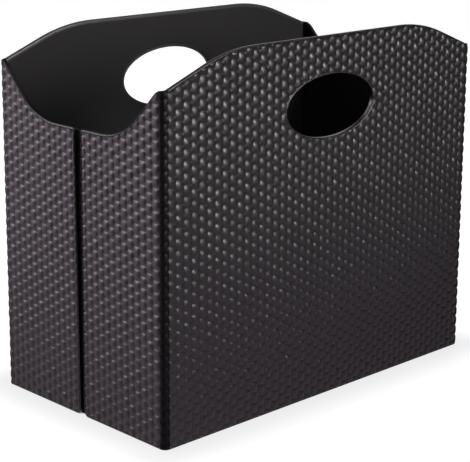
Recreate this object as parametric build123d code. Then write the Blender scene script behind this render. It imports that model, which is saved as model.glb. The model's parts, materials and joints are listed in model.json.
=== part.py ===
from build123d import *
import os

# Overall size, standing open on its base.
# X runs along the long walls, Y from the front wall to the back wall, Z up.
# The origin is the middle of the footprint, on the floor.
length = 360.0
depth = 200.0
height = 302.0

# Top line of the long walls
shoulder_drop = 26.0
shoulder_run = 67.0
shoulder_radius = 150.0

# Top line of the ends
crown_drop = 24.0
crown_run = 7.0
crown_radius = 15.0
dip_run = 40.5
dip_drop = 42.5
dip_radius = 60.0

# Layers of every stiff panel, from the outside in
leather = 0.8
board = 2.0
lining = 0.8
wall = leather + board + lining
turn_in = 3.0
edge_radius = 1.2

# Rounded leather strips that hinge the panels at the corners
corner_radius = 5.5
strip = 0.8
tongue = 9.0
strip_lift = 0.5

# Folding groove down the middle of each end
groove_top = 7.4
groove_foot = 4.8
foot_chamfer = 2.0
fold_cloth = 0.5
fold_lap = 6.0
fold_cloth_top_gap = 1.5
fold_cloth_lift = 3.0

# Hand hole in each long wall
hole_length = 102.0
hole_width = 51.0
hole_below_top = 57.0
sleeve_bevel = 0.5

# Folding base: two stiff leaves that rise as the ends fold inwards
base_board = 1.5
base_cloth = 0.5
base_lift = 1.0
hinge_gap = 0.6
middle_gap = 1.2
mitre_gap = 2.0
tape = 0.3
tape_width = 9.0
tape_end_gap = 12.0

# Soft triangles that close the base at the ends
gusset_cloth = 0.5
gusset_lap = 6.0
hem_height = 6.0
hem_start = 12.0
hem_corner_gap = 3.0

corner_height = height - shoulder_drop
crown_height = height - crown_drop
end_height = crown_height - dip_drop
hole_height = height - hole_below_top
wall_reach = length / 2 - corner_radius
end_reach = depth / 2 - corner_radius
inner_length = length / 2 - wall
inner_depth = depth / 2 - wall
base_top = base_lift + base_board + base_cloth

parts = {}


def save(name, shape):
    """Keeps one finished piece under its own name."""
    shape.label = name
    parts[name] = shape


def vertex_at(face, across, up):
    """The corner of a flat outline that lies nearest to a point."""
    return face.vertices().sort_by_distance((across, up, 0))[0]


def layer(face, start, thickness):
    """A sheet of a panel's outline, at a depth below its outer surface."""
    return extrude(Pos(0, 0, start) * face, thickness)


def upright_band(low, high):
    """A band of an outline between two distances across it, taller than any panel."""
    return Pos((low + high) / 2, height / 2) * Rectangle(high - low, 2 * height)


# Outlines, drawn across and up, with the outer corners still square

def wall_outline():
    """Long wall: a straight middle, and curved shoulders that fall to the corners."""
    half = length / 2
    shoulder = half - shoulder_run
    face = make_face(
        Polyline(
            (-half, 0),
            (half, 0),
            (half, corner_height),
            (shoulder, height),
            (-shoulder, height),
            (-half, corner_height),
            close=True,
        )
    )
    return fillet(face.vertices().group_by(Axis.Y)[-1], shoulder_radius)


def end_outline():
    """Half of an end, from the groove to the corner, with a hollow swept down to a low middle."""
    half = depth / 2
    crown = half - crown_run
    dip = crown - dip_run
    face = make_face(
        Polyline(
            (groove_foot / 2, 0),
            (half, 0),
            (half, crown_height),
            (crown, crown_height),
            (dip, end_height),
            (groove_top / 2, end_height),
            close=True,
        )
    )
    face = fillet(vertex_at(face, crown, crown_height), crown_radius)
    face = fillet(vertex_at(face, dip, end_height), dip_radius)
    return chamfer(vertex_at(face, groove_foot / 2, 0), foot_chamfer)


def hole_outline(margin):
    """The oval hand hole, with a margin round it."""
    return Pos(0, hole_height) * Ellipse(hole_length / 2 + margin, hole_width / 2 + margin)


# Stiff panels: a board wrapped in leather, with a lining let into its inner face

def wrapped_block(face, reach):
    """Full thickness of a panel, its free edges rounded as leather turned over a board is."""
    block = extrude(face, wall)
    rims = block.edges().filter_by(Axis.Z, reverse=True)
    free = [
        rim
        for rim in rims
        if rim.center().Y > edge_radius and abs(rim.center().X) < reach - edge_radius
    ]
    return fillet(free, edge_radius)


def panel(outline, reach, corners):
    """Cover, board, lining and the seats of the corner strips, for one stiff panel."""
    body = outline & upright_band(-reach, reach)
    inner = offset(outline, amount=-leather)
    pocket = inner & upright_band(-reach, reach)
    window = offset(outline, amount=-turn_in) & upright_band(-reach, reach)
    seats = Sketch()
    lips = Sketch()
    for side in corners:
        seats += pocket & upright_band(*sorted((side * reach, side * (reach - tongue))))
        lips += pocket & upright_band(*sorted((side * reach, side * (reach - lining))))

    seat = layer(seats, leather, strip)
    lip = layer(lips, leather + strip, board - strip)
    window_sheet = layer(window, leather + board, lining)
    cover = wrapped_block(body, reach) - layer(pocket, leather, board) - window_sheet
    stiffener = layer(pocket - lips, leather, board) - seat
    return cover, stiffener, window_sheet + lip, seats


def back_place(shape):
    """Stands a panel, drawn flat, in the back wall's place."""
    return Plane((0, depth / 2, 0), x_dir=(1, 0, 0), z_dir=(0, -1, 0)) * shape


def left_place(shape):
    """Stands a panel, drawn flat, in the rear half of the left end."""
    return Plane((-length / 2, 0, 0), x_dir=(0, 1, 0), z_dir=(1, 0, 0)) * shape


def front_and_back(names, shape):
    """The same piece at the back, and mirrored at the front."""
    save(names.format("back"), shape)
    save(names.format("front"), mirror(shape, about=Plane.XZ))


def left_and_right(names, shape):
    """The same piece at the left end, and mirrored at the right."""
    save(names.format("left"), shape)
    save(names.format("right"), mirror(shape, about=Plane.YZ))


def four_corners(names, shape):
    """The same piece in each quarter of the basket, from the one at the left rear."""
    left_and_right(names.format("{}_rear"), shape)
    left_and_right(names.format("{}_front"), mirror(shape, about=Plane.XZ))


def long_walls():
    """Both long walls, each with its hand hole and the leather sleeve inside the hole."""
    outline = wall_outline()
    cover, stiffener, sheet, seats = panel(outline, wall_reach, (-1, 1))
    hole = extrude(hole_outline(leather), wall)
    sleeve = extrude(hole_outline(leather) - hole_outline(0), wall)
    inner_rims = sleeve.edges().filter_by(GeomType.ELLIPSE).sort_by(Edge.length)[:2]
    sleeve = chamfer(inner_rims, sleeve_bevel)
    front_and_back("{}_wall_cover", back_place(cover - hole))
    front_and_back("{}_wall_board", back_place(stiffener - hole))
    front_and_back("{}_wall_lining", back_place(sheet - hole))
    front_and_back("{}_hand_hole_sleeve", back_place(sleeve))
    return outline, seats


def ends():
    """Both ends, each in two halves that fold inwards on the groove between them."""
    outline = end_outline()
    cover, stiffener, sheet, seats = panel(outline, end_reach, (1,))
    four_corners("{}_cover", left_place(cover))
    four_corners("{}_board", left_place(stiffener))
    four_corners("{}_lining", left_place(sheet))
    return outline, seats


def top_beside_corner(outline, reach):
    """Height of a panel's top line where the corner strip meets it."""
    cut = outline & upright_band(reach - edge_radius, reach)
    return cut.vertices().group_by(Axis.X)[-1].sort_by(Axis.Y)[-1].Y


def corner_strips(wall_shape, wall_seats, end_shape, end_seats):
    """Rounded leather hinge at each corner, with a tongue glued under each cover."""
    centre = Pos(corner_radius - length / 2, depth / 2 - corner_radius, strip_lift)
    quarter = Rectangle(corner_radius, corner_radius, align=(Align.MAX, Align.MIN))
    ring = Circle(corner_radius) - Circle(corner_radius - leather - strip)
    bend = extrude(centre * (ring & quarter), height)

    wall_top = top_beside_corner(wall_shape, wall_reach)
    end_top = top_beside_corner(end_shape, end_reach)
    fall = end_top - wall_top
    slope = Plane(
        (corner_radius - length / 2, depth / 2, wall_top),
        x_dir=(1, -1, 0),
        z_dir=(fall, fall, 2 * corner_radius),
    )
    bend = split(bend, bisect_by=slope, keep=Keep.BOTTOM)

    wall_tongue = wall_seats & upright_band(-length, 0)
    strip_shape = (
        bend
        + back_place(layer(wall_tongue, leather, strip))
        + left_place(layer(end_seats, leather, strip))
    )
    left_and_right("back_{}_corner", strip_shape)
    left_and_right("front_{}_corner", mirror(strip_shape, about=Plane.XZ))


def fold_strips():
    """Cloth that bridges the groove behind each end and carries its fold."""
    top = end_height - fold_cloth_top_gap
    across = groove_top + 2 * fold_lap
    cloth = Box(fold_cloth, across, top - fold_cloth_lift, align=(Align.MIN, Align.CENTER, Align.MIN))
    left_and_right("{}_fold_strip", Pos(-inner_length, 0, fold_cloth_lift) * cloth)


def base_leaves():
    """Two mitred leaves, each hinged to a long wall, that meet along the middle."""
    near = inner_depth - hinge_gap
    far = middle_gap / 2
    near_half = inner_length - mitre_gap - hinge_gap
    far_half = near_half - (near - far)
    leaf = make_face(
        Polyline(
            (-near_half, near),
            (near_half, near),
            (far_half, far),
            (-far_half, far),
            close=True,
        )
    )
    front_and_back("{}_base_board", extrude(Pos(0, 0, base_lift) * leaf, base_board))
    front_and_back("{}_base_cloth", extrude(Pos(0, 0, base_lift + base_board) * leaf, base_cloth))


def base_tapes():
    """Cloth hinge between each leaf and the wall that carries it."""
    half = inner_length - mitre_gap - tape_end_gap
    upright = Box(2 * half, tape, tape_width, align=(Align.CENTER, Align.MAX, Align.MIN))
    flat = Box(2 * half, tape_width, tape, align=(Align.CENTER, Align.MAX, Align.MIN))
    front_and_back("{}_base_tape", Pos(0, inner_depth, base_top) * (upright + flat))


def gussets():
    """Soft triangle under the mitres of the leaves at each end, hemmed to both halves."""
    tip = inner_depth + mitre_gap + gusset_lap - inner_length
    floor = make_face(
        Polyline(
            (-inner_length, -inner_depth),
            (tip, 0),
            (-inner_length, inner_depth),
            close=True,
        )
    )
    low = base_lift - gusset_cloth
    cloth = extrude(Pos(0, 0, low) * floor, gusset_cloth)
    hem_length = inner_depth - hem_start - hem_corner_gap
    hem = Box(gusset_cloth, hem_length, hem_height, align=(Align.MIN, Align.MIN, Align.MIN))
    hem = Pos(-inner_length, hem_start, low) * hem
    left_and_right("{}_gusset", cloth + hem + mirror(hem, about=Plane.XZ))


wall_shape, wall_seats = long_walls()
end_shape, end_seats = ends()
corner_strips(wall_shape, wall_seats, end_shape, end_seats)
fold_strips()
base_leaves()
base_tapes()
gussets()

os.makedirs("parts", exist_ok=True)
for name, shape in parts.items():
    export_step(shape, "parts/" + name + ".step")
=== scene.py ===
import bmesh
import bpy
import json
import math
from mathutils import Matrix, Vector, noise

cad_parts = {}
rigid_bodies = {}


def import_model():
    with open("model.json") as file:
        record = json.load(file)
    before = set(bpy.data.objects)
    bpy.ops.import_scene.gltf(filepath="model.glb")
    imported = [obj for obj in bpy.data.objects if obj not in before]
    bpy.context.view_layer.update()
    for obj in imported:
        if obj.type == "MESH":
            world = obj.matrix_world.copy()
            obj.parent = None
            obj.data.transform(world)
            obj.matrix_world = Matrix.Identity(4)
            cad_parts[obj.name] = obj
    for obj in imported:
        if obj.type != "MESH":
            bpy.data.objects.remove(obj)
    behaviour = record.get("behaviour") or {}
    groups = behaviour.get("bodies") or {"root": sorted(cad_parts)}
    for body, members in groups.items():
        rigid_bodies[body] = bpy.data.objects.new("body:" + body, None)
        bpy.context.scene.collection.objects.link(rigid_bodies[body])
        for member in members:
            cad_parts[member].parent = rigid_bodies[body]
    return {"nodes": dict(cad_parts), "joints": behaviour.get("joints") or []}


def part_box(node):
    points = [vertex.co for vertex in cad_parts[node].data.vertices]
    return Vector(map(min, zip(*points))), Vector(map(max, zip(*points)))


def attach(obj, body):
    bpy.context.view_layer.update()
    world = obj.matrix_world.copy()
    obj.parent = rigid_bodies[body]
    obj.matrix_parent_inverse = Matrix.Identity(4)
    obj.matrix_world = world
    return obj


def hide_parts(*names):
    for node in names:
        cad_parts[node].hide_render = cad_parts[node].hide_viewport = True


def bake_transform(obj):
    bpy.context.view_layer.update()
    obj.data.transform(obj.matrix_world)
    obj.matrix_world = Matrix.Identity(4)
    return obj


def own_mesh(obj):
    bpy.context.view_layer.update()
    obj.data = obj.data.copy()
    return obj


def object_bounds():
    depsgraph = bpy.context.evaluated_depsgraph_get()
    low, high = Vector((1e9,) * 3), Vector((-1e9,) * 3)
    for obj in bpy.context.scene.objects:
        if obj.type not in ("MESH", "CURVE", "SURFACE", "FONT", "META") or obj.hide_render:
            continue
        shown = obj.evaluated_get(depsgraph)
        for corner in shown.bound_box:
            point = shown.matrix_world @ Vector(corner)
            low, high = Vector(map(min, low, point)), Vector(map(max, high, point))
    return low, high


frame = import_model()
cad_low, cad_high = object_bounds()

MM = 0.001

# Sizes read from the frame
length = cad_high.x - cad_low.x
depth = cad_high.y - cad_low.y
height = cad_high.z
cover_low, cover_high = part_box("front_wall_cover")
wall = cover_high.y - cover_low.y
corner_radius = (length - (cover_high.x - cover_low.x)) / 2
groove_half_foot = -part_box("left_front_cover")[1].y
wall_reach = length / 2 - corner_radius
end_reach = depth / 2 - corner_radius
corner_arc = corner_radius * math.pi / 2
end_run = end_reach - groove_half_foot

# Top lines of the walls and ends, and the edges of the halves
corner_height = height - 26 * MM
shoulder_run = 67 * MM
shoulder_radius = 150 * MM
crown_height = height - 24 * MM
end_height = crown_height - 42.5 * MM
crown_run = 7 * MM
crown_radius = 15 * MM
dip_run = 40.5 * MM
dip_radius = 60 * MM
groove_half_top = 3.7 * MM
foot_chamfer = 2 * MM

# Hand hole
hole_across = 51 * MM
hole_up = 25.5 * MM
hole_height = height - 57 * MM

# Bead round the hand hole: how far out from the hole's edge, and how deep
bead_cover = 1.0 * MM
bead_profile = [
    (outward * MM, below * MM)
    for outward, below in (
        (1.6, 0.5), (1.5, -0.1), (1.2, -0.4), (0.8, -0.5), (0.4, -0.35), (0.1, 0.0), (0.0, 0.5),
        (0.0, 1.8), (0.0, 3.1), (0.1, 3.5), (0.5, 3.7), (1.2, 3.75), (2.2, 3.6),
    )
]

# Turned leather edges
edge_radius = 1.2 * MM
turn_in = 3 * MM
strip_depth = 1.6 * MM

# Weave pressed into the leather: upright strands over level ones.
# A strand's shape is how square it is across, downwards and upwards, and how far it slants.
row_pitch = 4.45 * MM
end_pitch = 7.25 * MM
wall_pitch_left = 8.1 * MM
wall_pitch_right = 7.2 * MM
domed = (3.2, 2.6, 2.6, 0.30)
flattened = (2.8, 2.4, 3.6, 0.08)
upright_half = 0.54
upright_over = 0.98
upright_lift = 1.15 * MM
level_width = 0.5
level_lift = 0.18 * MM
weave_floor = -0.68 * MM
crown_rise = 0.9 * MM
corner_stretch = 0.25
column_steps = (0.0, 0.2, 0.37, 0.5, 0.63, 0.8)
row_steps = (0.0, 0.15, 0.38, 0.62, 0.85)
nearest_line = 0.25 * MM

# How unevenly the weave is pressed
strand_variety = 0.30
wander_scale = 0.35
column_wander = 0.06
row_wander = 0.08

# Beside the groove the weave is pressed flatter, and the halves spread to the groove's slant
flat_at_groove = 0.12 * MM
rise_from_groove = 0.07
spread_reach = 40 * MM


# Lines of the outline

def rounded_line(corners, radii, steps=24):
    """Points of a line through corners, each turned by an arc of its own radius."""
    points = [Vector(corners[0])]
    for before, corner, after, radius in zip(corners, corners[1:], corners[2:], radii):
        before, corner, after = Vector(before), Vector(corner), Vector(after)
        arrive = (corner - before).normalized()
        leave = (after - corner).normalized()
        turn = math.atan2(arrive.x * leave.y - arrive.y * leave.x, arrive.dot(leave))
        back = radius * math.tan(abs(turn) / 2)
        begin = corner - arrive * back
        side = Vector((-arrive.y, arrive.x)) * math.copysign(radius, turn)
        centre = begin + side
        for k in range(steps + 1):
            points.append(centre - Matrix.Rotation(turn * k / steps, 2) @ side)
    points.append(Vector(corners[-1]))
    return points


def height_on(line, across):
    """Height of a line above a place along it."""
    for a, b in zip(line, line[1:]):
        if a.x <= across <= b.x and b.x > a.x:
            return a.y + (b.y - a.y) * (across - a.x) / (b.x - a.x)
    return line[0].y if across < line[0].x else line[-1].y


def slope_on(line, across):
    """Direction square to a line and away from the panel below it."""
    reach = 0.3 * MM
    rise = height_on(line, across + reach) - height_on(line, across - reach)
    return Vector((-rise, 2 * reach)).normalized()


def lowered_line(line, distance):
    """The same line moved square to itself towards the panel."""
    moved = []
    for a, b in zip(line, line[1:]):
        if (b - a).length > 0.001 * MM:
            along = (b - a).normalized()
            down = Vector((along.y, -along.x)) * distance
            moved += [a + down, b + down]
    return sorted(moved, key=lambda p: p.x)


def wall_top():
    """Top line of a long wall, from its middle: straight, with curved shoulders."""
    half = length / 2
    shoulder = half - shoulder_run
    return rounded_line(
        [(-half, corner_height), (-shoulder, height), (shoulder, height), (half, corner_height)],
        [shoulder_radius, shoulder_radius],
    )


def end_top():
    """Top line of half an end, from the groove: low, then swept up to the corner."""
    half = depth / 2
    crown = half - crown_run
    dip = crown - dip_run
    return rounded_line(
        [(0, end_height), (dip, end_height), (crown, crown_height), (half, crown_height)],
        [dip_radius, crown_radius],
    )


WALL_TOP = wall_top()
END_TOP = end_top()


# The skin: one sheet of leather walked round the basket, with the camera side in the middle

class Section:
    """A stretch of the skin: a flat panel, or the quarter round at a corner."""

    def __init__(self, start, along, inward, run, strand_shape, round_corner=False):
        self.start = Vector(start)
        self.along = Vector(along)
        self.inward = Vector(inward)
        self.run = run
        self.strand_shape = strand_shape
        self.round_corner = round_corner

    def place(self, run, deep, up):
        """Point at a distance along the stretch, below its surface and above the floor."""
        if self.round_corner:
            turn = run / corner_radius
            spoke = self.along * math.sin(turn) - self.inward * math.cos(turn)
            flat = self.start + self.inward * corner_radius + spoke * (corner_radius - deep)
        else:
            flat = self.start + self.along * run + self.inward * deep
        return Vector((flat.x, flat.y, up))


def column_marks(run, first_pitch, last_pitch, first_column):
    """Places across a stretch where the weave has a line, each with its column number."""
    marks = []
    number = math.floor(first_column)
    at = (number - first_column) * first_pitch
    while at < run:
        pitch = first_pitch + (last_pitch - first_pitch) * max(at, 0) / run
        for step in column_steps:
            marks.append((at + step * pitch, number + step))
        at += pitch
        number += 1
    marks.append((at, number))
    inside = [mark for mark in marks if nearest_line < mark[0] < run - nearest_line]
    return [(0.0, first_column)] + inside + [(run, column_at(marks, run))]


def column_at(marks, run):
    """Column number at a distance along a stretch."""
    for (a, first), (b, second) in zip(marks, marks[1:]):
        if a <= run <= b:
            return first + (second - first) * (run - a) / (b - a)
    return marks[-1][1]


def row_marks(top):
    """Heights at which the weave has a line, from the floor to above the top."""
    rows = math.ceil(top / row_pitch + 1)
    return [(row + step) * row_pitch for row in range(rows) for step in row_steps]


def upright_height(strand, off_column, row, shape):
    """Height of one upright strand over the floor of the weave, at a distance from its middle."""
    off_row = (row + strand) % 2 - 1
    spot = Vector((strand * 1.7, math.floor((row + strand) / 2) * 2.3, 4.0))
    fullness = 1 + strand_variety * noise.noise(spot)
    lean = strand_variety * noise.noise(spot + Vector((3.1, 0.0, 8.0))) * off_row
    across, downward, upward, slant = shape
    off_row -= slant * off_column
    along = upward if off_row > 0 else downward
    side = max(1 - abs(off_column / upright_half) ** across, 0.0)
    end = max(1 - abs(off_row / upright_over) ** along, 0.0)
    return upright_lift * fullness * side * end * (1 + lean)


def weave_height(column, up, shape):
    """How far the pressed weave stands above or below the plain surface."""
    row = up / row_pitch
    spot = Vector((column * wander_scale, row * wander_scale, 0.0))
    column += column_wander * noise.noise(spot)
    row += row_wander * noise.noise(spot + Vector((7.3, 1.9, 0.0)))
    first = math.floor(column)
    uprights = [upright_height(strand, column - strand, row, shape) for strand in (first, first + 1)]
    near = round(column)
    under = (1 - abs((row + near) % 2 - 1)) * 2 / level_width
    level = level_lift * max(1 - under ** 2, 0.0) * math.cos(math.pi * (column - near))
    return max(*uprights, level) + weave_floor


def make_piece(name, points, faces, crowns=None):
    """A mesh object from points in the frame, shaded smooth."""
    mesh = bpy.data.meshes.new(name)
    mesh.from_pydata(points, [], faces)
    mesh.validate()
    mesh.shade_smooth()
    if crowns:
        layer = mesh.attributes.new("crown", "FLOAT", "POINT")
        layer.data.foreach_set("value", crowns)
    piece = bpy.data.objects.new(name, mesh)
    bpy.context.scene.collection.objects.link(piece)
    return piece


class Skin:
    """Collects the points and faces of one woven panel."""

    def __init__(self, section, columns):
        self.section = section
        self.columns = columns
        self.points = []
        self.crowns = []
        self.faces = []

    def add(self, run, deep, up, crown=0.0):
        """Adds one point and gives its number."""
        self.points.append(self.section.place(run, deep, up))
        self.crowns.append(crown)
        return len(self.points) - 1

    def face(self, *corners):
        """Adds a face, leaving out corners that fall together."""
        kept = []
        for corner in corners:
            if corner not in kept:
                kept.append(corner)
        if len(kept) > 2:
            self.faces.append(tuple(kept))

    def weave(self, rows, low_of, high_of, shift=None, hole=None, proud_of=None):
        """Covers the panel between two lines with the weave, and gives each column's points.

        A shift moves points along the stretch, a hole leaves out the faces inside it, and
        proud_of sets how far the weave may stand out.
        """
        grid = []
        for run, column in self.columns:
            low = low_of(run)
            high = high_of(run)
            first = min(range(len(rows)), key=lambda k: abs(rows[k] - low))
            last = min(range(len(rows)), key=lambda k: abs(rows[k] - high))
            line = []
            for up in [low, *rows[first + 1:last], high]:
                fade = min(1.0, (up - low) / edge_radius, (high - up) / edge_radius)
                raised = weave_height(column, up, self.section.strand_shape) * max(fade, 0.0)
                if proud_of:
                    raised = min(raised, proud_of(run))
                if self.section.round_corner:
                    raised *= 1 - corner_stretch * math.sin(math.pi * run / self.section.run)
                across = run + (shift(run, up) if shift else 0.0)
                # The crown height also sets the leather's colour: painted shade low in the weave,
                # painted light on the raised strands
                crown = min(max((raised - weave_floor) / crown_rise, 0.0), 1.0)
                line.append((self.add(across, -raised, up, crown), across, up))
            grid.append((first, line))

        def point_on(column, k):
            first, line = column
            return line[min(max(k - first, 0), len(line) - 1)]

        for a, b in zip(grid, grid[1:]):
            last = max(first + len(line) for first, line in (a, b)) - 1
            for k in range(min(a[0], b[0]), last):
                corners = [point_on(a, k), point_on(b, k), point_on(b, k + 1), point_on(a, k + 1)]
                if hole is None or any(hole(across, up) >= 1 for _, across, up in corners):
                    self.face(*[number for number, _, _ in corners])
        if hole is not None:
            self.shrink_to(hole, grid)
        return [line for _, line in grid]

    def shrink_to(self, hole, grid):
        """Moves the points that stand inside the hole out to its edge."""
        used = {corner for face in self.faces for corner in face}
        for _, line in grid:
            for number, across, up in line:
                inside = hole(across, up)
                if number in used and inside < 1:
                    middle = self.section.run / 2
                    out = 1 / math.sqrt(max(inside, 0.2))
                    self.points[number] = self.section.place(
                        middle + (across - middle) * out,
                        0.0,
                        hole_height + (up - hole_height) * out,
                    )

    def turn_edge(self, path, radius, deep, tail):
        """Turns the leather over an edge: round, across the thickness, and down inside.

        The path holds a point's number, its place, and the direction out of the panel.
        """
        steps = 5
        turns = [math.pi / 2 * k / steps for k in range(steps + 1)]
        far = deep - radius
        profile = [(radius * math.sin(turn), radius * (1 - math.cos(turn))) for turn in turns[1:]]
        profile += [(radius * math.cos(turn), far + radius * math.sin(turn)) for turn in turns]
        profile.append((radius - tail, deep))
        before = None
        for number, across, up, out in path:
            rib = [number]
            for outward, below in profile:
                # Turned edges get the full crown: painted light in the leather's colour
                rib.append(self.add(across + out.x * outward, below, up + out.y * outward, 1.0))
            if before:
                for k in range(len(rib) - 1):
                    self.face(before[k], before[k + 1], rib[k + 1], rib[k])
            before = rib

    def make(self, name):
        """Makes the object."""
        return make_piece(name, self.points, self.faces, self.crowns)


# Shader sockets with arithmetic

class Value:
    """A shader socket that can be added, subtracted and multiplied in Python."""

    def __init__(self, finish, socket):
        self.finish = finish
        self.socket = socket

    def math(self, operation, other):
        """Adds a Math node of this value and another."""
        return self.finish.node("ShaderNodeMath", {"operation": operation}, {0: self, 1: other})

    def __add__(self, other):
        return self.math("ADD", other)

    def __radd__(self, other):
        return self.math("ADD", other)

    def __mul__(self, other):
        return self.math("MULTIPLY", other)

    def __rmul__(self, other):
        return self.math("MULTIPLY", other)

    def __sub__(self, other):
        return self.math("SUBTRACT", other)

    def __rsub__(self, other):
        return (self * -1) + other


class Finish:
    """The nodes of one material, or of the world."""

    def __init__(self, holder, output="ShaderNodeOutputMaterial"):
        self.holder = holder
        holder.use_nodes = True
        self.tree = holder.node_tree
        self.tree.nodes.clear()
        self.output = self.tree.nodes.new(output)

    def node(self, kind, settings=None, inputs=None, output=0):
        """Adds a node with its settings, values and links, and gives one of its outputs."""
        node = self.tree.nodes.new(kind)
        for key, value in (settings or {}).items():
            setattr(node, key, value)
        for key, value in (inputs or {}).items():
            socket = node.inputs[key]
            if isinstance(value, Value):
                self.tree.links.new(value.socket, socket)
            else:
                socket.default_value = value
        return Value(self, node.outputs[output])

    def vector(self, operation, first, second=(0, 0, 0), output="Vector"):
        """Adds a Vector Math node."""
        settings = {"operation": operation}
        return self.node("ShaderNodeVectorMath", settings, {0: first, 1: second}, output)

    def mix(self, factor, first, second):
        """Blends two colours."""
        settings = {"data_type": "RGBA"}
        return self.node("ShaderNodeMix", settings, {0: factor, 6: first, 7: second}, output=2)

    def place(self, scale=(1, 1, 1)):
        """Object coordinates, stretched."""
        return self.vector("MULTIPLY", self.node("ShaderNodeTexCoord", output="Object"), scale)

    def noise(self, where, scale, detail, roughness=0.5):
        """Smooth noise, from 0 to 1."""
        inputs = {"Vector": where, "Scale": scale, "Detail": detail, "Roughness": roughness}
        return self.node("ShaderNodeTexNoise", None, inputs)

    def fade(self, value, start, end, first, last):
        """Goes smoothly from one number to another as a value goes from start to end."""
        inputs = {"Value": value, 1: start, 2: end, 3: first, 4: last}
        return self.node("ShaderNodeMapRange", {"interpolation_type": "SMOOTHSTEP"}, inputs)

    def ribs(self, where, direction, scale, unevenness):
        """Threads that run side by side, from 0 to 1."""
        inputs = {"Vector": where, "Scale": scale, "Distortion": unevenness}
        return self.node("ShaderNodeTexWave", {"bands_direction": direction}, inputs)

    def bump(self, relief, distance):
        """Surface direction bent by a fine relief."""
        inputs = {"Height": relief, "Distance": distance, "Strength": 1.0}
        return self.node("ShaderNodeBump", None, inputs)

    def end(self, shader):
        """Ends the nodes in one shader, and gives the material or world that holds them."""
        self.tree.links.new(shader.socket, self.output.inputs["Surface"])
        return self.holder

    def surface(self, **inputs):
        """Ends the material in one Principled surface."""
        named = {key.replace("_", " "): value for key, value in inputs.items()}
        return self.end(self.node("ShaderNodeBsdfPrincipled", None, named))


def new_finish(name):
    """An empty material to add nodes to."""
    return Finish(bpy.data.materials.new(name))


def leather_material(name, dullness, sheen):
    """Black leather with a low sheen: finely grained and duller down in the weave; its colour holds
    painted shade down in the weave and painted light on the raised strands, the turned edges and the
    bead.
    """
    finish = new_finish(name)
    where = finish.place()
    crown = finish.node("ShaderNodeAttribute", {"attribute_name": "crown"}, output="Fac")
    grain = finish.noise(where, scale=1100.0, detail=3.0, roughness=0.6)
    patches = finish.noise(where, scale=22.0, detail=2.0)
    # Painted shade and light: the colour runs from deep in the hollows of the weave to high on the
    # raised strands and turned edges, by the crown height
    deep = (0.0008, 0.0007, 0.0008, 1)
    high = (0.0024, 0.0020, 0.0022, 1)
    colour = finish.mix(crown * 0.8 + patches * 0.3 - 0.05, deep, high)
    rough = 0.27 + crown * 0.05 + patches * 0.05 + grain * 0.05 + dullness
    return finish.surface(
        Base_Color=colour,
        Roughness=rough,
        Specular_IOR_Level=sheen,
        Specular_Tint=(1.0, 0.94, 0.96, 1),
        Normal=finish.bump(grain, distance=0.00008),
    )


def lining_material():
    """Matte black lining cloth with a fine even thread."""
    finish = new_finish("lining_cloth")
    where = finish.place()
    threads = finish.ribs(where, "DIAGONAL", scale=520.0, unevenness=0.6)
    fibre = finish.noise(where, scale=900.0, detail=3.0, roughness=0.7)
    patches = finish.noise(where, scale=12.0, detail=2.0)
    deep = (0.0034, 0.0029, 0.0032, 1)
    high = (0.0064, 0.0054, 0.0059, 1)
    colour = finish.mix(patches * 0.6 + fibre * 0.4, deep, high)
    relief = threads * 0.5 + fibre * 0.5
    return finish.surface(
        Base_Color=colour,
        Roughness=0.72 + fibre * 0.12,
        Specular_IOR_Level=0.15,
        Normal=finish.bump(relief, distance=0.00008),
    )


def hinge_cloth_material():
    """Ribbed black tape cloth of the hinges and gussets."""
    finish = new_finish("hinge_cloth")
    where = finish.place()
    ribs = finish.ribs(where, "Z", scale=260.0, unevenness=0.4)
    weft = finish.ribs(where, "X", scale=420.0, unevenness=0.6)
    fibre = finish.noise(where, scale=1300.0, detail=3.0, roughness=0.7)
    relief = ribs * 0.5 + weft * 0.3 + fibre * 0.2
    colour = finish.mix(relief, (0.004, 0.0035, 0.004, 1), (0.012, 0.0105, 0.0115, 1))
    return finish.surface(
        Base_Color=colour,
        Roughness=0.78 + fibre * 0.12,
        Specular_IOR_Level=0.2,
        Normal=finish.bump(relief, distance=0.0001),
    )


def board_material():
    """Grey board, seen only at its cut edges."""
    finish = new_finish("stiff_board")
    where = finish.place((1, 1, 6))
    fibre = finish.noise(where, scale=420.0, detail=3.0, roughness=0.7)
    colour = finish.mix(fibre, (0.20, 0.175, 0.14, 1), (0.34, 0.30, 0.25, 1))
    return finish.surface(
        Base_Color=colour,
        Roughness=0.85 + fibre * 0.1,
        Normal=finish.bump(fibre, distance=0.00005),
    )


LEATHER = leather_material("woven_leather", dullness=0.0, sheen=0.5)
# The corner leather is a shaded copy of the woven leather: the same colour, duller and with its
# sheen turned down so that the corner band shows dark as shade
CORNER_LEATHER = leather_material("corner_leather", dullness=0.1, sheen=0.1)
LINING = lining_material()
BOARD = board_material()
HINGE_CLOTH = hinge_cloth_material()


def dress(piece, material, slot_name, body=None, *nodes):
    """Gives a piece its finish and its body, and hides the nodes that it stands for."""
    piece.data.materials.clear()
    piece.data.materials.append(material)
    if body:
        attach(piece, body)
    if nodes:
        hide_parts(*nodes)


# Panels of the skin

def in_hole(across, up):
    """Under 1 inside the hand hole of a long wall, 1 under the bead round it."""
    wide = hole_across + bead_cover
    tall = hole_up + bead_cover
    return ((across - wall_reach) / wide) ** 2 + ((up - hole_height) / tall) ** 2


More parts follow.
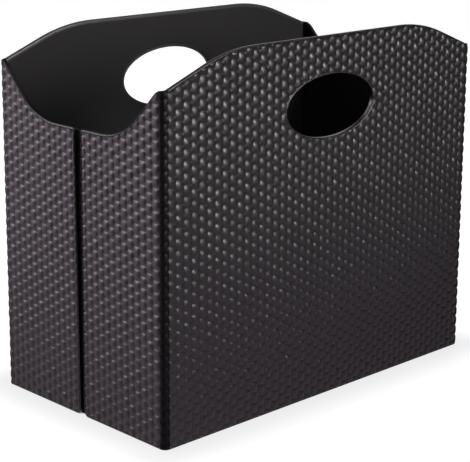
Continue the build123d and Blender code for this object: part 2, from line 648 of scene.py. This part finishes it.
def hole_bead(name, section):
    """Smooth leather turned through the hand hole, with a thin bead on the outer face."""
    skin = Skin(section, [])
    turns = 144
    rings = []
    for k in range(turns):
        turn = 2 * math.pi * k / turns
        edge = Vector((hole_across * math.cos(turn), hole_up * math.sin(turn)))
        out = Vector((hole_up * math.cos(turn), hole_across * math.sin(turn))).normalized()
        ring = []
        for outward, below in bead_profile:
            place = edge + out * outward
            # The bead's outer face gets painted light in the leather's colour, and its wall inside
            # the hole painted shade
            crown = 1.0 if below < edge_radius else 0.0
            ring.append(skin.add(wall_reach + place.x, below, hole_height + place.y, crown))
        rings.append(ring)
    for before, after in zip(rings, rings[1:] + rings[:1]):
        for k in range(len(bead_profile) - 1):
            skin.face(before[k], after[k], after[k + 1], before[k + 1])
    piece = skin.make(name + "_hole_bead")
    dress(piece, LEATHER, "woven_leather", name, name.replace("wall", "hand_hole_sleeve"))


def top_path(lines, top):
    """The upper edge of a panel as a path for its turned leather."""
    return [(*line[-1], slope_on(top, line[-1][1])) for line in lines]


def foot_path(lines):
    """The lower edge of a panel as a path for its turned leather."""
    return [(*line[0], Vector((0, -1))) for line in lines]


def long_wall(name, section, columns):
    """A long wall: woven, with curved shoulders, turned edges and the hole left open."""
    centred = [point + Vector((wall_reach, 0)) for point in WALL_TOP]
    lowered = lowered_line(centred, edge_radius)
    foot = edge_radius / 2
    skin = Skin(section, columns)
    lines = skin.weave(
        row_marks(height),
        lambda run: foot,
        lambda run: height_on(lowered, run),
        hole=in_hole,
    )
    skin.turn_edge(top_path(lines, lowered), edge_radius, wall, turn_in)
    skin.turn_edge(foot_path(lines)[::-1], foot, wall, turn_in)
    hole_bead(name, section)
    dress(skin.make(name + "_skin"), LEATHER, "woven_leather", name, name + "_cover")


def end_half(name, section, columns, groove_first):
    """Half of an end: woven, with the swept top line and a turned edge at the groove."""
    groove_at = 0.0 if groove_first else section.run
    sign = 1 if groove_first else -1
    line = [Vector((groove_at + sign * (p.x - groove_half_foot), p.y)) for p in END_TOP]
    lowered = lowered_line(sorted(line, key=lambda p: p.x), edge_radius)

    def from_groove(across):
        return (across - groove_at) * sign

    def spread(across, up):
        near = max(0.0, 1 - from_groove(across) / spread_reach)
        taper = (groove_half_top - groove_half_foot) * min(up / end_height, 1.0)
        return sign * (taper + edge_radius) * near

    def low_of(across):
        return edge_radius + max(foot_chamfer - from_groove(across), 0.0)

    def proud_of(across):
        return flat_at_groove + rise_from_groove * from_groove(across)

    def high_of(across):
        return height_on(lowered, across)

    skin = Skin(section, columns)
    lines = skin.weave(row_marks(crown_height), low_of, high_of, shift=spread, proud_of=proud_of)
    top = top_path(lines, lowered)
    foot = foot_path(lines)
    side = [(*point, Vector((-sign, 0))) for point in lines[0 if groove_first else -1]]
    path = foot[::-1] + side + top if groove_first else top + side[::-1] + foot[::-1]
    skin.turn_edge(path, edge_radius, wall, turn_in)
    dress(skin.make(name + "_skin"), LEATHER, "woven_leather", name, name + "_cover")


def corner(name, section, columns, before, after):
    """The rounded leather at a corner, bending between the two panels that it joins."""
    starts_on_wall = section.along.y == 0
    first, last = height_on(END_TOP, end_reach), height_on(WALL_TOP, wall_reach)
    if starts_on_wall:
        first, last = last, first
    skin = Skin(section, columns)
    radius = edge_radius / 2

    def high_of(run):
        return first + (last - first) * run / section.run - radius

    lines = skin.weave(row_marks(crown_height), lambda run: radius, high_of)
    top = [(*line[-1], Vector((0, 1))) for line in lines]
    skin.turn_edge(top, radius, strip_depth, corner_height - turn_in / 2)
    skin.turn_edge(foot_path(lines)[::-1], radius, strip_depth, radius + turn_in)
    piece = skin.make(name + "_skin")
    dress(piece, CORNER_LEATHER, "corner_leather", None, name + "_corner")
    start = section.place(0.0, 0.0, 0.0)
    end = section.place(section.run, 0.0, 0.0)
    if frozenset((before, after)) in joined:
        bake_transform(piece)
    else:
        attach(piece, after)


# Pairs of bodies that share a joint
joined = {frozenset((joint["parent"], joint["child"])) for joint in frame["joints"]}

# The walk round the basket: each stretch with its start, the way along, the way in and its length
walk = [
    ("right_rear", (length / 2, end_reach), (0, -1), (-1, 0), end_run),
    ("right_front", (length / 2, -groove_half_foot), (0, -1), (-1, 0), end_run),
    ("front_right", (length / 2, -end_reach), (0, -1), (-1, 0), corner_arc),
    ("front_wall", (wall_reach, -depth / 2), (-1, 0), (0, 1), 2 * wall_reach),
    ("front_left", (-wall_reach, -depth / 2), (-1, 0), (0, 1), corner_arc),
    ("left_front", (-length / 2, -end_reach), (0, 1), (1, 0), end_run),
    ("left_rear", (-length / 2, groove_half_foot), (0, 1), (1, 0), end_run),
    ("back_left", (-length / 2, end_reach), (0, 1), (1, 0), corner_arc),
    ("back_wall", (-wall_reach, depth / 2), (1, 0), (0, -1), 2 * wall_reach),
    ("back_right", (wall_reach, depth / 2), (1, 0), (0, -1), corner_arc),
]
groove_first = ("right_front", "left_rear")

# Pitch of the upright strands where a long wall starts and where it ends
pitches = {
    "front_wall": (wall_pitch_right, wall_pitch_left),
    "back_wall": (wall_pitch_left, wall_pitch_right),
}

# The two bodies at each corner
neighbours = {
    "front_right": ("right_front", "front_wall"),
    "front_left": ("front_wall", "left_front"),
    "back_left": ("left_rear", "back_wall"),
    "back_right": ("right_rear", "back_wall"),
}

column = 0.0
for name, start, along, inward, run in walk:
    is_corner = name in neighbours
    shape = domed if name.endswith("wall") else flattened
    section = Section(start, along, inward, run, shape, is_corner)
    first_pitch, last_pitch = pitches.get(name, (end_pitch, end_pitch))
    columns = column_marks(run, first_pitch, last_pitch, column)
    column = columns[-1][1]
    if is_corner:
        corner(name, section, columns, *neighbours[name])
    elif name.endswith("wall"):
        long_wall(name, section, columns)
    else:
        end_half(name, section, columns, name in groove_first)


# Cloth hinges and the soft gussets of the base

def tube_faces(count):
    """Faces between two rings of points, closed at both ends."""
    faces = [(k, (k + 1) % count, (k + 1) % count + count, k + count) for k in range(count)]
    return faces + [tuple(range(count))[::-1], tuple(range(count, 2 * count))]


def band(name, profile, low, high, across_x):
    """A strip of cloth: one closed profile, drawn in x or y and z, pulled along a straight line."""
    points = []
    for end in (low, high):
        for flat, up in profile:
            points.append((end, flat, up) if across_x else (flat, end, up))
    return make_piece(name, points, tube_faces(len(profile)))


def across_strip(begin, end, steps):
    """Places across a strip, each with how far its face has risen from the woven edges, 0 to 1."""
    return [
        (begin + (end - begin) * k / steps, math.sin(math.pi * k / steps) ** 0.3)
        for k in range(steps + 1)
    ]


def fold_strip(side):
    """Cloth behind the groove of an end, between its two halves."""
    name = side + "_fold_strip"
    low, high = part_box(name)
    left_side = side == "left"
    back = low.x if left_side else high.x
    inward = 1 if left_side else -1
    thickness = (high.x - low.x) * inward
    thin_edge = 0.3
    swell = 0.2
    across = across_strip(low.y, high.y, steps=24)
    profile = [(back, y) for y, share in across]
    profile += [(back + thickness * (thin_edge + swell * share), y) for y, share in reversed(across)]
    points = [(x, y, up) for up in (low.z, high.z) for x, y in profile]
    faces = tube_faces(len(profile))
    if not left_side:
        faces = [face[::-1] for face in faces]
    piece = make_piece(name + "_cloth", points, faces)
    dress(piece, HINGE_CLOTH, "hinge_cloth", None, name)
    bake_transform(piece)


def base_tape(side):
    """Cloth hinge along the foot of a long wall, bending between the wall and its base leaf."""
    name = side + "_base_tape"
    low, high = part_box(name)
    sign = -1 if side == "front" else 1
    outer = low.y if side == "front" else high.y
    tape = 0.3 * MM
    tall = high.z - low.z
    reach = high.y - low.y
    glued_side = [(0, tall), (0, 1.6 * MM), (0, 0.7 * MM), (0, 0)]
    glued_side += [(0.7 * MM, 0), (1.6 * MM, 0), (reach, 0)]
    open_side = [(reach, tape), (2.0 * MM, tape), (1.2 * MM, tape), (0.75 * MM, 0.45 * MM)]
    open_side += [(0.45 * MM, 0.75 * MM), (tape, 1.2 * MM), (tape, 2.0 * MM), (tape, tall)]
    placed = [(outer - sign * flat, low.z + up) for flat, up in glued_side + open_side]
    if side == "back":
        placed = placed[::-1]
    piece = band(name + "_cloth", placed, low.x, high.x, True)
    dress(piece, HINGE_CLOTH, "hinge_cloth", None, name)
    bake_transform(piece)


def gusset_quarter(side, end_half_name, low, high):
    """Half of an end's soft triangle, lying flat and carried by one half of the end."""
    left_side = side == "left"
    root = low.x if left_side else high.x
    tip = high.x if left_side else low.x
    inward = 1 if left_side else -1
    toward = -1 if end_half_name.endswith("front") else 1
    corner_at = toward * high.y
    corner_width = 3 * MM * inward
    thickness = 0.5 * MM
    slack = 0.12 * MM
    weld = 0.01 * MM
    steps = 14
    points = []
    faces = []
    for k in range(steps + 1):
        y = corner_at * (1 - k / steps)
        reach = corner_width + (tip - root - corner_width) * k / steps
        for j in range(steps + 1):
            x = root + reach * j / steps
            sag = slack * math.sin(math.pi * j / steps) * math.sin(math.pi * k / steps)
            points.append((x, y, low.z + thickness - sag))
            points.append((x, y, low.z))
    wide = 2 * (steps + 1)
    for k in range(steps):
        for j in range(steps):
            a = k * wide + 2 * j
            b = a + 2
            c = b + wide
            d = a + wide
            faces += [(a, b, c, d), (a + 1, d + 1, c + 1, b + 1)]
    rim = [k * wide for k in range(steps + 1)]
    rim += [steps * wide + 2 * j for j in range(1, steps + 1)]
    rim += [k * wide + 2 * steps for k in range(steps - 1, 0, -1)]
    for a, b in zip(rim, rim[1:] + rim[:1]):
        faces.append((a, a + 1, b + 1, b))
    if inward * toward > 0:
        faces = [face[::-1] for face in faces]
    piece = make_piece(end_half_name + "_gusset", points, faces)
    mesh = bmesh.new()
    mesh.from_mesh(piece.data)
    bmesh.ops.remove_doubles(mesh, verts=mesh.verts, dist=weld)
    bmesh.ops.dissolve_degenerate(mesh, edges=mesh.edges, dist=weld / 2)
    bmesh.ops.recalc_face_normals(mesh, faces=mesh.faces)
    mesh.to_mesh(piece.data)
    mesh.free()
    dress(piece, HINGE_CLOTH, "hinge_cloth", end_half_name, side + "_gusset")
    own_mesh(piece)


def gusset_hem(side, end_half_name, low, high):
    """The edge of the gusset turned up and glued to one half of the end."""
    left_side = side == "left"
    root = low.x if left_side else high.x
    inward = 1 if left_side else -1
    toward = -1 if end_half_name.endswith("front") else 1
    hem_start = 12 * MM
    corner_gap = 3 * MM
    cloth = 0.3 * MM
    lip = 0.5 * MM
    top = high.z - low.z
    profile = [(0, 0), (0, top), (cloth * 0.6, top), (cloth, top - 0.4 * MM)]
    profile += [(cloth, 2 * lip), (cloth * 1.5, lip), (cloth * 3, lip), (cloth * 3, 0)]
    placed = [(root + inward * flat, low.z + up) for flat, up in profile]
    if left_side:
        placed = placed[::-1]
    first, last = sorted((toward * hem_start, toward * (high.y - corner_gap)))
    piece = band(end_half_name + "_gusset_hem", placed, first, last, False)
    dress(piece, HINGE_CLOTH, "hinge_cloth", end_half_name)


for side in ("left", "right"):
    fold_strip(side)
    gusset_low, gusset_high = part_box(side + "_gusset")
    for end_half_name in (side + "_front", side + "_rear"):
        gusset_quarter(side, end_half_name, gusset_low, gusset_high)
        gusset_hem(side, end_half_name, gusset_low, gusset_high)
for side in ("front", "back"):
    base_tape(side)


# Lining, boards and cloth that stay as the frame has them

for name, node in frame["nodes"].items():
    if not node.hide_render:
        node.data.materials.clear()
        node.data.materials.append(BOARD if name.endswith("_board") else LINING)


# Floor, light and camera

floor_reach = 6.0
toward_camera = (-0.70, -0.71, 0)
to_the_left = (-0.70, 0.71, 0)

# How brightly the floor shows in reflections, and the world as a light
floor_glow = 0.48
floor_glow_left = 1.35
floor_glow_far_left = 2.6
world_glow = 0.03

camera_place = (-0.8938, -0.9073, 0.4686)
camera_angles = (-44.26, 13.75, 0.365)
camera_lens = 116.54
camera_shift_y = -0.0872

# Name, place, target, size, power and spread of each lamp
centre = (0, 0, height / 2)
lamps = [
    ("key", (0.08, -0.60, 0.55), (-0.04, -0.1, 0.41), 0.65, 2.6, 36),
    ("side", (-0.66, 0.30, 0.54), (-0.18, -0.18, 0.32), 0.8, 0.95, 36),
    ("top", (-0.4, 1.2, 1.3), (-0.15, 0.0, 0.32), 1.0, 0.9, 50),
    ("glint", (-0.32, -0.86, 1.10), (0.0, -0.1, 0.27), 0.25, 5, 180),
    ("rim", (1.1, 1.1, 0.45), centre, 1.2, 5.5, 180),
]


def floor_white_with_painted_shade(finish, where):
    """What the eye sees of the floor: white, with a painted shadow beside the basket and painted
    dark shade under it.
    """
    side = finish.vector("ABSOLUTE", where)
    beyond = finish.vector("SUBTRACT", side, (length / 2, depth / 2, 0))
    away = finish.vector("LENGTH", finish.vector("MAXIMUM", beyond), output="Value")
    distance = {"Distance": 0.03}
    covered = finish.node("ShaderNodeAmbientOcclusion", {"samples": 8}, distance, output="AO")
    # Painted shadow: the white fades to grey at the basket's footprint, and to near black where the
    # ambient occlusion finds the floor covered
    white = finish.fade(away, 0.0, 0.05, 0.78, 0.99) * finish.fade(covered, 0.15, 0.35, 0.03, 1.0)
    return white, away


def floor_mirrored(finish, where, away):
    """How brightly the floor glows as a light for the leather to mirror: brightest far to the left,
    dim in front and far off.
    """
    near_camera = finish.vector("DOT_PRODUCT", where, toward_camera, output="Value")
    leftward = finish.vector("DOT_PRODUCT", where, to_the_left, output="Value")
    near_glow = finish.fade(away, 0.1, 0.7, floor_glow, 0.12)
    glow = finish.fade(near_camera, 0.25, 0.60, 1.0, 0.2)
    glow = glow * finish.fade(near_camera, -0.1, 0.25, 0.64, 1.0)
    glow = glow * finish.fade(leftward, -0.1, 1.0, near_glow, floor_glow_left)
    return glow * finish.fade(leftward, 0.9, 1.5, 1.0, floor_glow_far_left)


def floor():
    """A wide pale floor, in one flat sheet: white to the eye with a painted shadow, and glowing as a
    light for the leather.
    """
    far = floor_reach
    points = [(-far, -far, 0), (far, -far, 0), (far, far, 0), (-far, far, 0)]
    piece = make_piece("floor", points, [(0, 1, 2, 3)])
    finish = new_finish("pale_floor")
    seen = finish.node("ShaderNodeLightPath", output="Is Camera Ray")
    where = finish.node("ShaderNodeTexCoord", output="Object")
    white, away = floor_white_with_painted_shade(finish, where)
    # The floor glows as a light for everything but the eye, and shows white with its painted shadow
    # to the eye
    strength = seen * white + (1 - seen) * floor_mirrored(finish, where, away)
    # The glow that lights the leather is tinted purple; the eye sees the floor neutral
    tinted = strength * (0.82 + seen * 0.18)
    emission = finish.node("ShaderNodeCombineColor", None, {0: strength, 1: tinted, 2: strength})
    material = finish.surface(
        Base_Color=(0.12, 0.12, 0.12, 1),
        Roughness=0.7,
        Emission_Color=emission,
        Emission_Strength=1.0,
    )
    piece.data.materials.append(material)


def world():
    """Pale surroundings: white to the eye, dim as a light."""
    studio = bpy.data.worlds.new("studio")
    bpy.context.scene.world = studio
    finish = Finish(studio, "ShaderNodeOutputWorld")
    pale = (1, 1, 1, 1)
    seen = finish.node("ShaderNodeLightPath", output="Is Camera Ray")
    white = finish.node("ShaderNodeBackground", None, {"Color": pale})
    dim = finish.node("ShaderNodeBackground", None, {"Color": pale, "Strength": world_glow})
    finish.end(finish.node("ShaderNodeMixShader", None, {0: seen, 1: dim, 2: white}))


def lamp(name, place, target, size, power, spread):
    """A soft square lamp that points at a target."""
    light = bpy.data.lights.new(name, "AREA")
    light.shape = "SQUARE"
    light.size = size
    light.energy = power
    light.spread = math.radians(spread)
    lamp_object = bpy.data.objects.new(name, light)
    lamp_object.visible_camera = False
    lamp_object.location = place
    aim = Vector(target) - Vector(place)
    lamp_object.rotation_euler = aim.to_track_quat("-Z", "Y").to_euler()
    bpy.context.scene.collection.objects.link(lamp_object)


def camera():
    """The photograph's viewpoint."""
    azimuth, elevation, roll = map(math.radians, camera_angles)
    back = Vector((
        math.sin(azimuth) * math.cos(elevation),
        -math.cos(azimuth) * math.cos(elevation),
        math.sin(elevation),
    ))
    side = Vector((0, 0, 1)).cross(back).normalized()
    up = back.cross(side)
    turned_side = side * math.cos(roll) + up * math.sin(roll)
    turned_up = up * math.cos(roll) - side * math.sin(roll)
    data = bpy.data.cameras.new("camera")
    data.sensor_width = 36.0
    data.lens = camera_lens
    data.shift_y = camera_shift_y
    data.clip_start = 0.05
    piece = bpy.data.objects.new("camera", data)
    rotation = Matrix((turned_side, turned_up, back)).transposed().to_4x4()
    piece.matrix_world = Matrix.Translation(camera_place) @ rotation
    bpy.context.scene.collection.objects.link(piece)
    bpy.context.scene.camera = piece


floor()
world()
for lamp_values in lamps:
    lamp(*lamp_values)
camera()
bpy.context.scene.view_settings.view_transform = "Standard"
